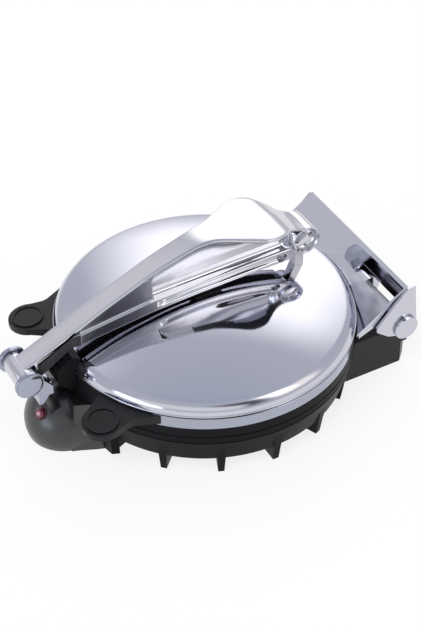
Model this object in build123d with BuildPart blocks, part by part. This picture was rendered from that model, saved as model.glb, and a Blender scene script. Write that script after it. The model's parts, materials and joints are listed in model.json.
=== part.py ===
from build123d import *
import os
from math import atan2, cos, degrees, radians, sin, sqrt

os.makedirs("parts", exist_ok=True)

# Electric roti maker, in millimetres. The origin is on the table under the middle of
# the pan, +Z is up, -Y is the front where the latch is, and the hinge is at +Y.

# ---- driving dimensions: the pan and its shell
rim_radius = 125.0          # chrome band, dome rim and mouth of the bowl
foot_ring_radius = 119.0    # bowl at its lower edge
floor_z = 16.0              # underside of the bowl
waist_z = 38.0              # where the bowl stops flaring
band_bottom_z = 54.4
band_top_z = 65.5
band_wall = 3.5
shell_wall = 3.0
floor_hole_radius = 84.0
cover_radius = 95.0
cover_thickness = 1.6

# ---- driving dimensions: the lid
dome_radius = 124.8
dome_edge_z = 67.1
crown_radius = 430.0        # shallow pressed crown
knuckle_radius = 12.0       # tight bend at the dome's rim
dome_sheet = 1.2
hood_sheet = 1.6
hood_rear_y = 150.0
hood_rear_z = 87.5
hood_slope = 0.68           # fall of the hood towards the dome, height over length
hood_half_width = 75.0

# ---- driving dimensions: the joints
hinge_y, hinge_z = 148.0, 48.0       # lid turns here
eye_y, eye_z = 88.0, 117.0           # pressing arm turns here
latch_y, latch_z = -165.0, 74.0      # latch turns here

# ---- driving dimensions: the pressing arm
arm_half_width = 9.6
rail_half_width = 11.4
web_half_width = 3.0
flange_thickness = 3.0
eye_radius = 13.0
eye_half_length = 14.0
eye_recess = 4.5
eye_gap_half = 4.7
barrel_radius = 9.5
barrel_half_length = 15.0

# ---- driving dimensions: the latch, the feet and the cooking plates
clip_radius = 12.0
foot_count = 16
plate_radius = 120.5
plate_top_z = 61.8
upper_plate_radius = 115.5
upper_plate_z = 62.6
upper_plate_thickness = 7.0
element_radius = 75.0
element_tube = 3.25
pin_clearance = 0.05

crown_centre_z = dome_edge_z - sqrt(
    (crown_radius - knuckle_radius) ** 2 - (dome_radius - knuckle_radius) ** 2
)


def crown_height(radius):
    """Height of the dome's outer face at a radius inside the knuckle."""
    return crown_centre_z + sqrt(crown_radius ** 2 - radius ** 2)


def hood_height(y):
    """Height of the hood's upper face."""
    return hood_rear_z - hood_slope * (hood_rear_y - y)


def write(part, name):
    """Label a finished piece and write its STEP file."""
    part.label = name
    export_step(part, f"parts/{name}.step")


# =====================================================================  base

# ---- bowl: moulded black phenolic, with ears, front ledge, hinge block and feet
ear_x, ear_y, ear_radius = 70.0, -128.5, 16.5
ear_ring_radius, ear_cap_radius = 13.4, 11.2
ear_bottom_z = 57.0
ear_fall = 0.1              # slope of the ear's top, height over length
ear_angle = degrees(atan2(ear_y, ear_x))
ledge_half_angle = 42.5
block_half_width = 70.0
block_rear_y = 163.0
block_top_z = 41.0
block_wall = 3.5
lug_inner_x, lug_radius = 60.0, 10.0
pivot_pin_radius = 4.0
foot_outer, foot_inner = 121.0, 96.0
foot_top_width, foot_tip_width = 8.0, 5.0
screw_circle, screw_count = 89.5, 4

# room for the chrome band round the mouth
with BuildPart() as band_room:
    with BuildSketch(Plane.XZ):
        with Locations((rim_radius - 1.45, 61.2)):
            Rectangle(3.2, 13.6)
    revolve(axis=Axis.Z, revolution_arc=360 - 2 * ledge_half_angle)

# room for the bowl inside the pieces that are fixed round it
seat_gap = 0.05
with BuildPart() as bowl_room:
    with BuildSketch(Plane.XZ):
        with BuildLine():
            Polyline(
                (0, -1), (foot_ring_radius + seat_gap, -1),
                (foot_ring_radius + seat_gap, floor_z),
                (rim_radius - 0.4 + seat_gap, waist_z), (rim_radius + seat_gap, waist_z + 1),
                (rim_radius + seat_gap, 70), (0, 70), close=True,
            )
        make_face()
    revolve(axis=Axis.Z)

# the ledge that takes the band's place across the front
with BuildPart() as front_ledge:
    with BuildSketch(Plane.XZ):
        with Locations((rim_radius - band_wall / 2, (band_bottom_z + band_top_z) / 2)):
            Rectangle(band_wall, band_top_z - band_bottom_z)
    revolve(axis=Axis.Z, revolution_arc=2 * ledge_half_angle)

# one ear, its top tilted outwards
outward = Vector(cos(radians(ear_angle)), sin(radians(ear_angle)), 0)
ear_tilt = Plane(
    origin=outward * rim_radius + Vector(0, 0, band_top_z - 0.4),
    x_dir=Vector(-outward.Y, outward.X, 0),
    z_dir=Vector(outward.X * ear_fall, outward.Y * ear_fall, 1),
)
with BuildPart() as ear:
    with BuildSketch(Plane.XY.offset(ear_bottom_z)) as ear_outline:
        with Locations((ear_x, ear_y)):
            Circle(ear_radius)
        with BuildLine():
            Polyline(
                (42.0, -116.0), (58.0, -139.0), (84.5, -121.0), (81.0, -108.0),
                (89.5, -88.0), (70.0, -92.0), close=True,
            )
        make_face()
        concave = ear_outline.vertices().filter_by_position(Axis.Y, -112, -104)
        fillet(concave.filter_by_position(Axis.X, 79, 83), 12)
        Circle(rim_radius - 0.6, mode=Mode.SUBTRACT)
    extrude(amount=band_top_z - ear_bottom_z)
    split(bisect_by=ear_tilt, keep=Keep.BOTTOM)

# the hinge block behind, hollow from below, with two lugs for the pivot pins
with BuildPart() as hinge_block:
    with BuildSketch() as block_plan:
        with BuildLine():
            Polyline(
                (-block_half_width, 95.0),
                (-block_half_width, 152.0),
                (-block_half_width + 11.0, block_rear_y),
                (block_half_width - 11.0, block_rear_y),
                (block_half_width, 152.0),
                (block_half_width, 95.0),
                close=True,
            )
        make_face()
        fillet(block_plan.vertices().group_by(Axis.Y)[-1], 9)
        Circle(foot_ring_radius - 1.0, mode=Mode.SUBTRACT)
    extrude(amount=block_top_z)
    with BuildSketch(Plane.YZ.offset(-block_half_width)):
        with BuildLine():
            Polyline(
                (134, block_top_z), (block_rear_y + 1, 24), (block_rear_y + 1, block_top_z),
                close=True,
            )
        make_face()
    extrude(amount=2 * block_half_width, mode=Mode.SUBTRACT)
    with BuildSketch():
        with BuildLine():
            Polyline(
                (-block_half_width + block_wall, 90.0),
                (-block_half_width + block_wall, 150.0),
                (-block_half_width + 13.0, block_rear_y - block_wall),
                (block_half_width - 13.0, block_rear_y - block_wall),
                (block_half_width - block_wall, 150.0),
                (block_half_width - block_wall, 90.0),
                close=True,
            )
        make_face()
        Circle(rim_radius + 2.5, mode=Mode.SUBTRACT)
    extrude(amount=24 - block_wall, mode=Mode.SUBTRACT)
    for side in (1, -1):
        with BuildSketch(Plane.YZ.offset(side * (lug_inner_x + block_half_width) / 2)):
            with Locations((hinge_y, hinge_z)):
                Circle(lug_radius)
            with BuildLine():
                Polyline(
                    (hinge_y - lug_radius, hinge_z),
                    (hinge_y + lug_radius, hinge_z),
                    (hinge_y + lug_radius, 22),
                    (hinge_y - lug_radius - 6, 22),
                    close=True,
                )
            make_face()
        extrude(amount=(block_half_width - lug_inner_x) / 2, both=True)
    add(bowl_room.part, mode=Mode.SUBTRACT)
    with Locations(Plane.YZ.offset(block_half_width + 1)):
        with Locations((hinge_y, hinge_z)):
            Hole(pivot_pin_radius, depth=2 * block_half_width + 2)
write(hinge_block.part, "hinge_block")

# the two ears
with BuildPart() as base_ears:
    add([ear.part, mirror(ear.part, about=Plane.YZ, mode=Mode.PRIVATE)])
    add(band_room.part.rotate(Axis.Z, -90 + ledge_half_angle), mode=Mode.SUBTRACT)
    add(bowl_room.part, mode=Mode.SUBTRACT)
write(base_ears.part, "base_ears")

# one foot: a tapered radial rib under the edge
with BuildPart() as foot:
    with BuildSketch(Plane.XZ.offset(-foot_top_width / 2)):
        with BuildLine():
            Polyline(
                (foot_inner, floor_z + 1), (foot_inner + 2, 0), (foot_outer - 2.6, 0),
                (foot_outer - 0.4, floor_z), (foot_outer + 1.4, 30), (foot_inner + 18, 26),
                (foot_inner + 14, floor_z + 1), close=True,
            )
        make_face()
    extrude(amount=foot_top_width)
    for side in (1, -1):
        with BuildSketch(Plane.YZ.offset(foot_inner - 1)):
            with BuildLine():
                Polyline(
                    (side * foot_top_width / 2, 30), (side * foot_tip_width / 2, 0),
                    (side * foot_tip_width / 2, -1), (side * foot_top_width, -1),
                    (side * foot_top_width, 30), close=True,
                )
            make_face()
        extrude(amount=30, mode=Mode.SUBTRACT)

rib_angles = [i * 360 / foot_count for i in range(foot_count)]
rib_angles = [a for a in rib_angles if not 60 < a < 120 and a != 270]
with BuildPart() as base_housing:
    with BuildSketch(Plane.XZ):
        with BuildLine():
            Polyline(
                (floor_hole_radius, floor_z),
                (foot_ring_radius, floor_z),
                (rim_radius - 0.4, waist_z),
                (rim_radius - 1.6, waist_z + 0.8),
                (rim_radius - 0.2, waist_z + 1.6),
                (rim_radius - 0.2, waist_z + 6.6),
                (rim_radius - 1.6, waist_z + 7.4),
                (rim_radius, waist_z + 8.2),
                (rim_radius, band_bottom_z),
                (rim_radius - band_wall, band_bottom_z),
                (rim_radius - band_wall - 0.5, waist_z),
                (foot_ring_radius - shell_wall, floor_z + shell_wall),
                (floor_hole_radius, floor_z + shell_wall),
                close=True,
            )
        make_face()
    revolve(axis=Axis.Z)
    add(front_ledge.part.rotate(Axis.Z, -90 - ledge_half_angle))
    add(band_room.part.rotate(Axis.Z, -90 + ledge_half_angle), mode=Mode.SUBTRACT)
    add([foot.part.rotate(Axis.Z, a) for a in rib_angles])
    # bores for the cover screws
    with Locations(Plane.XY.offset(floor_z)):
        with PolarLocations(screw_circle, screw_count, start_angle=22):
            Cylinder(1.6, 10, mode=Mode.SUBTRACT)
write(base_housing.part, "base_housing")

# ---- chrome band round the mouth of the bowl, open across the front
with BuildPart() as base_band:
    with BuildSketch(Plane.XZ) as band_section:
        with Locations((rim_radius - band_wall / 2, (band_bottom_z + band_top_z) / 2)):
            Rectangle(band_wall, band_top_z - band_bottom_z)
        chamfer(band_section.vertices().group_by(Axis.X)[-1], 0.6)
    revolve(axis=Axis.Z, revolution_arc=360 - 2 * ledge_half_angle)
write(base_band.part.rotate(Axis.Z, -90 + ledge_half_angle), "base_band")

# ---- round caps over the screws in the ears
with BuildPart() as ear_caps:
    for side in (1, -1):
        outward = Vector(cos(radians(ear_angle)) * side, sin(radians(ear_angle)), 0)
        ear_top_z = band_top_z - 0.4 - ear_fall * (sqrt(ear_x ** 2 + ear_y ** 2) - rim_radius)
        face = Plane(
            origin=(side * ear_x, ear_y, ear_top_z),
            x_dir=Vector(-outward.Y, outward.X, 0),
            z_dir=Vector(outward.X * ear_fall, outward.Y * ear_fall, 1),
        )
        with BuildSketch(face):
            Circle(ear_ring_radius)
        extrude(amount=0.5)
        with BuildSketch(face.offset(0.5)):
            Circle(ear_ring_radius)
            Circle(ear_cap_radius, mode=Mode.SUBTRACT)
        extrude(amount=0.9)
write(ear_caps.part, "ear_caps")

# ---- lamp bulge at the front: half a ball, hollow, with a pocket in its top
bulb_y, bulb_z, bulb_radius, bulb_wall = -131.5, 11.0, 33.0, 2.5
lamp_x = 9.5
lamp_axis = Vector(lamp_x, -155.4 - bulb_y, 31.7 - bulb_z).normalized()
pocket_half_width = 16.5
pocket_front_y, pocket_rear_y, pocket_floor_z = -149.0, -140.0, 33.5
# low skirt each side that runs from the bulge to the nearest feet
with BuildPart() as lamp_skirt:
    with BuildSketch() as skirt_plan:
        with BuildLine():
            Polyline(
                (0, -100), (-41.5, -113.5), (-38.5, -122), (-34.0, -132), (-31.0, -140),
                (31.0, -140), (34.0, -132), (38.5, -122), (41.5, -113.5), close=True,
            )
        make_face()
    extrude(amount=44, taper=9)

with BuildPart() as lamp_housing:
    with Locations((0, bulb_y, bulb_z)):
        Sphere(bulb_radius)
    with Locations((0, bulb_y, -bulb_radius / 2)):
        Box(3 * bulb_radius, 3 * bulb_radius, bulb_radius, mode=Mode.SUBTRACT)
    add(lamp_skirt.part)
    with Locations((0, bulb_y, bulb_z)):
        Sphere(bulb_radius - bulb_wall, mode=Mode.SUBTRACT)
    # walls and floor of the pocket in its top
    ball = Sphere(bulb_radius - 0.05, mode=Mode.PRIVATE).moved(Location((0, bulb_y, bulb_z)))
    pocket_depth = pocket_rear_y - pocket_front_y
    pocket_shell = Box(
        2 * (pocket_half_width + bulb_wall), pocket_depth + 2 * bulb_wall, 30, mode=Mode.PRIVATE
    ).moved(Location((
        0, (pocket_front_y + pocket_rear_y) / 2, pocket_floor_z - bulb_wall + 15
    )))
    add(pocket_shell & ball)
    with Locations((0, (pocket_front_y + pocket_rear_y) / 2, pocket_floor_z + 15)):
        Box(2 * pocket_half_width, pocket_depth, 30, mode=Mode.SUBTRACT)
    add(bowl_room.part, mode=Mode.SUBTRACT)
    lamp_seat = Plane(
        origin=Vector(0, bulb_y, bulb_z) + lamp_axis * (bulb_radius - 6), z_dir=lamp_axis
    )
    with BuildSketch(lamp_seat):
        Circle(4.3)
    extrude(amount=12, mode=Mode.SUBTRACT)
write(lamp_housing.part, "lamp_housing")

# ---- red lens with its collar, and the neon lamp behind it
with BuildPart() as lamp_lens:
    seat = Vector(0, bulb_y, bulb_z) + lamp_axis * (bulb_radius - 4)
    with BuildSketch(Plane(origin=seat, z_dir=lamp_axis)):
        Circle(4.25)
    extrude(amount=5.05)
    with BuildSketch(Plane(origin=seat + lamp_axis * 3.75, z_dir=lamp_axis)):
        Circle(5.6)
    extrude(amount=1.3)
    chamfer(lamp_lens.faces().sort_by(Axis((0, 0, 0), tuple(lamp_axis)))[-1].edges(), 0.35)
    with Locations(Plane(origin=seat + lamp_axis * 4.0, z_dir=lamp_axis)):
        Sphere(3.2)
write(lamp_lens.part, "lamp_lens")

with BuildPart() as neon_lamp:
    with BuildSketch(Plane(origin=seat - lamp_axis * 12, z_dir=lamp_axis)):
        Circle(2.6)
    extrude(amount=11)
    chamfer(neon_lamp.edges().filter_by(GeomType.CIRCLE), 1.0)
write(neon_lamp.part, "neon_lamp")

# ---- lower cooking plate: cast aluminium with a low lip
plate_underside_z = band_bottom_z + 0.2
with BuildPart() as lower_plate:
    with BuildSketch(Plane.XZ):
        with BuildLine():
            Polyline(
                (0, plate_underside_z), (plate_radius, plate_underside_z),
                (plate_radius, plate_top_z + 2.4), (plate_radius - 2.4, plate_top_z + 2.4),
                (plate_radius - 3.4, plate_top_z), (0, plate_top_z), close=True,
            )
        make_face()
    revolve(axis=Axis.Z)
write(lower_plate.part, "lower_plate")


def element(name, centre_z, stem):
    """Tubular heating element: an open ring with two terminal stems."""
    with BuildPart() as heater:
        with BuildSketch(Plane.XZ):
            with Locations((element_radius, centre_z)):
                RegularPolygon(element_tube, 6, major_radius=False, rotation=0)
        revolve(axis=Axis.Z, revolution_arc=310)
        for turn in (0, 310):
            tip = Plane.XY.rotated((0, 0, turn)).offset(centre_z)
            with BuildSketch(tip):
                with Locations((element_radius, 0)):
                    Circle(2.0)
            extrude(amount=stem)
    write(heater.part.rotate(Axis.Z, 115), name)


element("lower_element", plate_underside_z - element_tube, -20)

# ---- heat shield: spun aluminium dish, with a hole for the thermostat
shield_z, shield_sheet, shield_radius = 37.5, 1.0, 108.0
with BuildPart() as heat_shield:
    with BuildSketch(Plane.XZ):
        with BuildLine():
            Polyline(
                (0, shield_z), (shield_radius - 8, shield_z),
                (shield_radius, plate_underside_z), (shield_radius - 1.2, plate_underside_z),
                (shield_radius - 8.8, shield_z + shield_sheet), (0, shield_z + shield_sheet),
                close=True,
            )
        make_face()
    revolve(axis=Axis.Z)
    with Locations((0, 0, shield_z)):
        Box(40, 28, 6, mode=Mode.SUBTRACT)
    stem_angles = (115, 115 + 310)
    for turn in stem_angles:
        with Locations((
            element_radius * cos(radians(turn)), element_radius * sin(radians(turn)), shield_z
        )):
            Cylinder(4, 6, mode=Mode.SUBTRACT)
write(heat_shield.part, "heat_shield")

with BuildPart() as shield_posts:
    with Locations(Plane.XY.offset(floor_z + shell_wall)):
        with PolarLocations(92, 3, start_angle=45):
            Cylinder(
                4, shield_z - floor_z - shell_wall,
                align=(Align.CENTER, Align.CENTER, Align.MIN),
            )
write(shield_posts.part, "shield_posts")

# ---- thermostat under the plate, and the thermal fuse beside it
with BuildPart() as thermostat:
    with BuildSketch(Plane.XY.offset(plate_underside_z)):
        Rectangle(32, 20)
    extrude(amount=-4)
    with BuildSketch(Plane.XY.offset(plate_underside_z - 4)):
        RectangleRounded(26, 16, 3)
    extrude(amount=-14)
    with BuildSketch(Plane.XY.offset(plate_underside_z - 18)):
        with GridLocations(16, 0, 2, 1):
            Rectangle(6.3, 0.8)
    extrude(amount=-7)
write(thermostat.part, "thermostat")

with BuildPart() as thermal_fuse:
    with BuildSketch(Plane.YZ.offset(-13)):
        with Locations((40, plate_underside_z - 3.2)):
            Circle(3.2)
    extrude(amount=26)
    chamfer(thermal_fuse.edges().filter_by(GeomType.CIRCLE), 1.0)
write(thermal_fuse.part, "thermal_fuse")

# ---- bottom cover and its screws
with BuildPart() as bottom_cover:
    with BuildSketch(Plane.XY.offset(floor_z)):
        Circle(cover_radius)
    extrude(amount=-cover_thickness)
    with BuildSketch(Plane.XY.offset(floor_z)):
        with PolarLocations(60, 8):
            Rectangle(3.5, 22)
        with PolarLocations(screw_circle, screw_count, start_angle=22):
            Circle(1.9)
    extrude(amount=-cover_thickness, mode=Mode.SUBTRACT)
write(bottom_cover.part, "bottom_cover")

with BuildPart() as cover_screws:
    with BuildSketch(Plane.XY.offset(floor_z - cover_thickness)):
        with PolarLocations(screw_circle, screw_count, start_angle=22):
            Circle(3.1)
    extrude(amount=-1.8)
    with BuildSketch(Plane.XY.offset(floor_z - cover_thickness)):
        with PolarLocations(screw_circle, screw_count, start_angle=22):
            RegularPolygon(1.6, 6)
    extrude(amount=9)
write(cover_screws.part, "cover_screws")

# ---- power inlet at the back of the block, and its pins
inlet_x, inlet_z, inlet_rear_y = -33.0, 14.0, 177.0
with BuildPart() as power_inlet:
    with BuildSketch(Plane.XZ.offset(-(block_rear_y + 0.1))) as inlet_outline:
        with Locations((inlet_x, inlet_z)):
            RectangleRounded(30, 21, 6)
    extrude(amount=-(inlet_rear_y - block_rear_y - 0.1))
    with BuildSketch(Plane.XZ.offset(-inlet_rear_y)):
        with Locations((inlet_x, inlet_z)):
            RectangleRounded(25, 16, 4)
    extrude(amount=11, mode=Mode.SUBTRACT)
write(power_inlet.part, "power_inlet")

with BuildPart() as inlet_pins:
    with BuildSketch(Plane.XZ.offset(-(inlet_rear_y - 11))):
        with Locations(
            (inlet_x - 7, inlet_z - 2), (inlet_x, inlet_z + 3), (inlet_x + 7, inlet_z - 2)
        ):
            RectangleRounded(4, 2, 0.9)
    extrude(amount=-9)
write(inlet_pins.part, "inlet_pins")

# ---- terminal block inside the hinge block
with BuildPart() as terminal_block:
    with Locations((20, 142, 24 - block_wall)):
        Box(36, 12, 14, align=(Align.CENTER, Align.CENTER, Align.MAX))
    with Locations(Plane.XZ.offset(-148)):
        with Locations((8, 13), (20, 13), (32, 13)):
            Cylinder(2.4, 4, mode=Mode.SUBTRACT, align=(Align.CENTER, Align.CENTER, Align.MIN))
write(terminal_block.part, "terminal_block")

# ---- plate that closes the hinge block from below
with BuildPart() as block_cover:
    with BuildSketch(Plane.XY.offset(1.0)):
        with BuildLine():
            Polyline(
                (-block_half_width + block_wall + 0.1, 112.0),
                (-block_half_width + block_wall + 0.1, 149.8),
                (-block_half_width + 13.1, block_rear_y - block_wall - 0.1),
                (block_half_width - 13.1, block_rear_y - block_wall - 0.1),
                (block_half_width - block_wall - 0.1, 149.8),
                (block_half_width - block_wall - 0.1, 112.0),
                close=True,
            )
        make_face()
        Circle(rim_radius + 2.6, mode=Mode.SUBTRACT)
    extrude(amount=1.6)
write(block_cover.part, "block_cover")

# ---- pivot pins with broad flat heads outside the cheeks
cheek_inner_x, cheek_sheet, head_gap, head_radius, head_thickness = 76.2, 2.2, 0.4, 11.0, 3.0
for side, name in ((1, "hinge_pin_right"), (-1, "hinge_pin_left")):
    with BuildPart() as hinge_pin:
        head_x = cheek_inner_x + cheek_sheet + head_gap
        with BuildSketch(Plane.YZ.offset(side * head_x)):
            with Locations((hinge_y, hinge_z)):
                Circle(head_radius)
        extrude(amount=side * head_thickness)
        rim = hinge_pin.edges().filter_by(GeomType.CIRCLE)
        chamfer(rim.sort_by(Axis.X)[-1 if side > 0 else 0], 0.8)
        with BuildSketch(Plane.YZ.offset(side * head_x)):
            with Locations((hinge_y, hinge_z)):
                Circle(pivot_pin_radius)
        extrude(amount=-side * (head_x - lug_inner_x + 1))
    write(hinge_pin.part, name)

# =====================================================================  lid

# ---- dome: pressed and chromed sheet, with a rolled bead at its edge
knuckle_x = dome_radius - knuckle_radius
meet = atan2(knuckle_x, dome_edge_z - crown_centre_z)


bead_angle = radians(84.26)      # where the bead starts, on the bend


def knuckle_point(angle, radius):
    """A point of the rim's bend, its angle measured from the vertical."""
    return (knuckle_x + radius * sin(angle), dome_edge_z + radius * cos(angle))


def dome_curve(inset):
    """Points of the dome's section from the axis to the bead, set in by inset."""
    crown = [meet * i / 4 for i in range(4)]
    bend = [meet + (bead_angle - meet) * i / 5 for i in range(6)]
    return [
        ((crown_radius - inset) * sin(a), crown_centre_z + (crown_radius - inset) * cos(a))
        for a in crown
    ] + [knuckle_point(a, knuckle_radius - inset) for a in bend]


with BuildPart() as lid_dome:
    with BuildSketch(Plane.XZ):
        with BuildLine():
            outside, inside = dome_curve(0), dome_curve(dome_sheet)
            Spline(*outside)
            Polyline(
                outside[-1], (dome_radius + 0.3, dome_edge_z + 1.2),
                (dome_radius + 0.7, dome_edge_z + 0.8), (dome_radius + 0.7, dome_edge_z),
                (dome_radius + 0.3, dome_edge_z - 0.4),
                (dome_radius - dome_sheet, dome_edge_z - 0.4), inside[-1],
            )
            Spline(*reversed(inside))
            Line(inside[0], outside[0])
        make_face()
    revolve(axis=Axis.Z)
write(lid_dome.part, "lid_dome")

# ---- dark ring that joins the dome to the upper plate
ring_bottom_z = 66.4
with BuildPart() as lid_ring:
    with BuildSketch(Plane.XZ):
        with BuildLine():
            Polyline(
                (upper_plate_radius - 6, 69.6), (upper_plate_radius + 1.5, 69.6),
                (upper_plate_radius + 5, ring_bottom_z), (dome_radius - 1.25, ring_bottom_z),
                (dome_radius - 1.25, dome_edge_z), (dome_radius - 1.5, 69.0),
                (upper_plate_radius + 6, 69.0),
                (upper_plate_radius + 3, 71.2), (upper_plate_radius - 6, 71.2), close=True,
            )
        make_face()
    revolve(axis=Axis.Z)
write(lid_ring.part, "lid_ring")

# ---- upper cooking plate, its element and its cover disc
with BuildPart() as upper_plate:
    with BuildSketch(Plane.XY.offset(upper_plate_z)):
        Circle(upper_plate_radius)
    extrude(amount=upper_plate_thickness)
    chamfer(upper_plate.edges().group_by(Axis.Z)[0], 1.2)
write(upper_plate.part, "upper_plate")

upper_back_z = upper_plate_z + upper_plate_thickness
element("upper_element", upper_back_z + element_tube + 0.1, 5)

with BuildPart() as lid_reflector:
    with BuildSketch(Plane.XY.offset(79.5)):
        Circle(96)
        with PolarLocations(element_radius, 2, start_angle=115, angular_range=310, endpoint=True):
            Circle(4)
    extrude(amount=0.8)
write(lid_reflector.part, "lid_reflector")

with BuildPart() as reflector_posts:
    with Locations(Plane.XY.offset(upper_back_z + 0.05)):
        with PolarLocations(90, 3, start_angle=30):
            Cylinder(3.5, 79.5 - upper_back_z - 0.1, align=(Align.CENTER, Align.CENTER, Align.MIN))
write(reflector_posts.part, "reflector_posts")

# ---- hood: folded sheet that falls from the hinge to the dome, open above the hinge rod
window = (23.0, 73.0, 131.5, 147.0)
hood_front_radius = 126.6
with BuildPart() as hood_column:
    with BuildSketch():
        with BuildLine():
            Polyline(
                (-hood_half_width, 98), (-hood_half_width, hood_rear_y),
                (hood_half_width, hood_rear_y), (hood_half_width, 98), close=True,
            )
        make_face()
        Circle(hood_front_radius, mode=Mode.SUBTRACT)
        with Locations(((window[0] + window[1]) / 2, (window[2] + window[3]) / 2)):
            Rectangle(window[1] - window[0], window[3] - window[2], mode=Mode.SUBTRACT)
    extrude(amount=120)

# the lip that seats the hood on the dome
with BuildPart() as hood_lip:
    with BuildSketch(Plane.XZ):
        with BuildLine():
            Polyline(
                (dome_radius + 0.75, 67.6), (hood_front_radius + 0.4, 67.6),
                (hood_front_radius + 0.4, 71.4), (dome_radius + 0.75, 70.6), close=True,
            )
        make_face()
    revolve(axis=Axis.Z, revolution_arc=30)

with BuildPart() as hinge_hood:
    with BuildSketch(Plane.YZ.offset(-hood_half_width)):
        with BuildLine():
            Polyline(
                (96, hood_height(96)), (hood_rear_y, hood_rear_z),
                (hood_rear_y, hood_rear_z - 22), (hood_rear_y - hood_sheet, hood_rear_z - 22),
                (hood_rear_y - hood_sheet, hood_rear_z - 2.4 * hood_sheet),
                (96, hood_height(96) - 1.2 * hood_sheet), close=True,
            )
        make_face()
    extrude(amount=2 * hood_half_width)
    add(hood_column.part, mode=Mode.INTERSECT)
    add(hood_lip.part.rotate(Axis.Z, 75))
    # turned-down side flanges
    for side in (1, -1):
        with BuildSketch(Plane.YZ.offset(side * hood_half_width)):
            with BuildLine():
                Polyline(
                    (104, hood_height(104)), (hood_rear_y, hood_rear_z),
                    (hood_rear_y, hood_rear_z - 18), (104, hood_height(104) - 6), close=True,
                )
            make_face()
        extrude(amount=-side * hood_sheet)
write(hinge_hood.part, "hinge_hood")

# ---- cheeks: chromed side plates that carry the hood on the pivot pins
cheek_bore_radius = pivot_pin_radius + pin_clearance
right_top = [(147.5, 88.3), (155.0, 89.2), (158.9, 52.0)]
left_top = [(149.5, 85.2), (158.9, 52.0)]
cheek_foot = [(151.0, 42.0), (140.0, 40.6), (131.5, 43.4), (117.5, 54.2)]
for side, name, top in ((1, "hinge_cheek_right", right_top), (-1, "hinge_cheek_left", left_top)):
    with BuildPart() as hinge_cheek:
        with BuildSketch(Plane.YZ.offset(side * cheek_inner_x)) as cheek_outline:
            with BuildLine():
                Polyline(*top, *cheek_foot, close=True)
            make_face()
            fillet(cheek_outline.vertices().sort_by(Axis.Y)[:5], 4)
            with Locations((hinge_y, hinge_z)):
                Circle(cheek_bore_radius, mode=Mode.SUBTRACT)
        extrude(amount=side * cheek_sheet)
        # spacer pad between the cheek and the hood's flange
        with BuildSketch(Plane.YZ.offset(side * cheek_inner_x)):
            with BuildLine():
                Polyline((132, 68.0), (146, 82.0), (146, 74.0), (132, 62.0), close=True)
            make_face()
        extrude(amount=-side * (cheek_inner_x - hood_half_width - 0.05))
    write(hinge_cheek.part, name)

# ---- tube and rod between the cheeks, seen through the window
rod_y, rod_z, tube_radius = 138.3, 65.5, 9.3
with BuildPart() as hinge_tube:
    with BuildSketch(Plane.YZ.offset(-72.9)):
        with Locations((rod_y, rod_z)):
            Circle(tube_radius)
            Circle(3.1, mode=Mode.SUBTRACT)
    extrude(amount=72.9 + 38)
write(hinge_tube.part, "hinge_tube")

with BuildPart() as hinge_rod:
    with BuildSketch(Plane.YZ.offset(-73.35)):
        with Locations((rod_y, rod_z)):
            Circle(3.0)
    extrude(amount=2 * 73.35)
write(hinge_rod.part, "hinge_rod")

# ---- post on the dome that carries the pressing arm
post_half = eye_gap_half - 0.5
arm_pin_radius = 5.0
with BuildPart() as arm_post:
    with BuildSketch(Plane.YZ.offset(-post_half)):
        with Locations((eye_y, eye_z)):
            Circle(eye_radius - 1.5)
        with Locations((eye_y, (eye_z + 76) / 2)):
            Rectangle(8, eye_z - 76)
    extrude(amount=2 * post_half)
    with BuildSketch(Plane.YZ.offset(-post_half - 2)):
        with Locations((eye_y, eye_z)):
            Circle(arm_pin_radius + pin_clearance)
    extrude(amount=2 * post_half + 4, mode=Mode.SUBTRACT)
    with Locations((0, 0, crown_centre_z)):
        Sphere(crown_radius + seat_gap, mode=Mode.SUBTRACT)
write(arm_post.part, "arm_post")

# ---- dark ribbed block on the lid's front edge, under the arm
with BuildSketch(Plane.XZ) as dome_shadow:
    with BuildLine():
        Polyline(
            (0, 40), (rim_radius + 0.6, 40), (rim_radius + 0.6, 69.0),
            knuckle_point(radians(78), knuckle_radius + seat_gap),
        )
        ThreePointArc(
            knuckle_point(radians(78), knuckle_radius + seat_gap),
            knuckle_point(radians(60), knuckle_radius + seat_gap),
            knuckle_point(radians(30), knuckle_radius + seat_gap),
        )
        Polyline(
            knuckle_point(radians(30), knuckle_radius + seat_gap),
            (0, knuckle_point(radians(30), knuckle_radius + seat_gap)[1]), (0, 40),
        )
    make_face()
dome_block = revolve(dome_shadow.sketch, axis=Axis.Z, mode=Mode.PRIVATE)
with BuildPart() as front_block:
    with BuildSketch(Plane.YZ.offset(-15)):
        with BuildLine():
            Polyline(
                (-120, 50), (-120, 80.0), (-126.5, 83.4), (-141, 73.6), (-139.5, 60),
                (-129, 50), close=True,
            )
        make_face()
    extrude(amount=30)
    add(dome_block, mode=Mode.SUBTRACT)
    with BuildSketch(Plane.XZ.offset(138.5)):
        with GridLocations(5.6, 0, 5, 1):
            with Locations((0, 66)):
                Rectangle(1.8, 60)
    extrude(amount=5, mode=Mode.SUBTRACT)
write(front_block.part, "front_block")

# =====================================================================  arm

# ---- pressing arm: a curved leaf-shaped top over a casting with a web and a rail
crest = [
    (-166, 83.4), (-150, 90.5), (-130, 100.0), (-110, 109.5), (-90, 118.8), (-70, 127.4),
    (-50, 136.0), (-30, 142.9), (-10, 148.6), (4, 150.0), (22, 149.6), (42, 148.8),
    (58, 145.8), (68, 141.2), (78, 134.6), (88, 129.9),
]
plan = [
    (-166, 9.6), (-60, 9.6), (-40, 9.9), (-20, 10.4), (-5, 11.4), (5, 13.6), (15, 18.3),
    (25, 23.7), (33, 28.0), (40, 30.8), (46, 31.7), (52, 31.0), (59, 28.2), (66, 22.6),
    (73, 17.2), (80, 14.6), (88, 14.0),
]
arm_pin_cap = 7.5
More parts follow.
